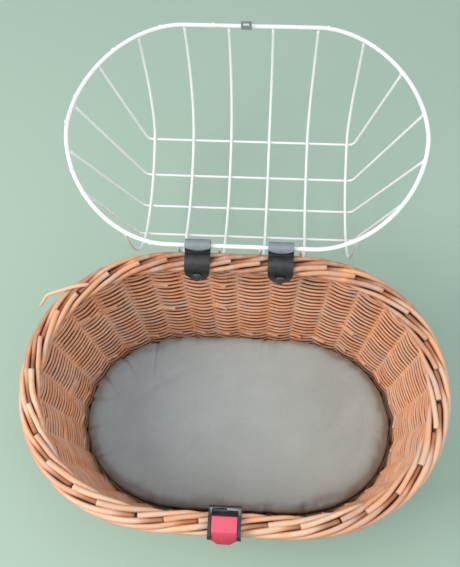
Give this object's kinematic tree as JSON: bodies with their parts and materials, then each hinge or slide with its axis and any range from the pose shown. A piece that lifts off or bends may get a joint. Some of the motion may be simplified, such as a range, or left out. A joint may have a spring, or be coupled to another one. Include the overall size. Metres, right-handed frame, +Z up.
{
  "type": "dog bicycle basket",
  "caption": "Oval woven willow dog basket for a bicycle, with a loose cushion, a wire dome lid hinged at the back and folded open, and a front clasp with a red lever.",
  "frame": {"origin": "middle of the base's flat underside, where the basket stands", "axes": "+Z up, +Y to the hinge at the back, where the open lid hangs, +X to the right seen from the clasp"},
  "size_m": [0.5, 0.6583, 0.2938],
  "materials": {
    "willow": "peeled willow, dry, slightly shiny on the rods",
    "cushion_fabric": "plain matt grey woven cloth",
    "cushion_filling": "pale fibre filling, hidden",
    "strap_plastic": "satin black plastic",
    "nut_plastic": "glossy black plastic",
    "clasp_black": "satin black plastic",
    "clasp_red": "smooth red plastic",
    "wire_coating": "white plastic coating on steel wire, with small rust stains",
    "steel": "plain zinc-plated steel"
  },
  "bodies": {
    "basket": {"base_weave": "willow", "foot_waling": "willow", "woven_wall": "willow", "upper_waling": "willow", "rim_border": "willow", "hinge_strap_left": "strap_plastic", "hinge_screw_left": "steel", "hinge_cone_nut_left": "nut_plastic", "hinge_strap_right": "strap_plastic", "hinge_screw_right": "steel", "hinge_cone_nut_right": "nut_plastic", "clasp_saddle": "clasp_black", "clasp_pin": "steel", "clasp_leaf_spring": "steel", "clasp_screw": "steel", "clasp_cone_nut": "nut_plastic"},
    "lid": {"lid_frame_wire": "wire_coating", "lid_long_wire_1": "wire_coating", "lid_long_wire_2": "wire_coating", "lid_long_wire_3": "wire_coating", "lid_long_wire_4": "wire_coating", "lid_hoop_1": "wire_coating", "lid_hoop_2": "wire_coating", "lid_hoop_3": "wire_coating", "lid_hoop_4": "wire_coating", "lid_hoop_5": "wire_coating", "lid_hoop_6": "wire_coating", "lid_striker": "steel"},
    "clasp_lever": {"clasp_lever": "clasp_red"},
    "cushion": {"cushion_core": "cushion_filling", "cushion_cover": "cushion_fabric"}
  },
  "joints": [
    {"name": "lid_hinge", "type": "hinge", "parent": "basket", "child": "lid", "pos_m": [0, 0.169, 0.268], "axis": [1, 0, 0], "range_deg": [0, 178.09]},
    {"name": "clasp_press", "type": "hinge", "parent": "basket", "child": "clasp_lever", "pos_m": [0, -0.1665, 0.2665], "axis": [1, 0, 0], "range_deg": [0, 30], "stiffness_Nm_per_rad": 0.05, "deforming": ["clasp_leaf_spring"]},
    {"name": "cushion_lift", "type": "slide", "parent": "basket", "child": "cushion", "axis": [0, 0, 1], "range_m": [0, 0.1]}
  ]
}
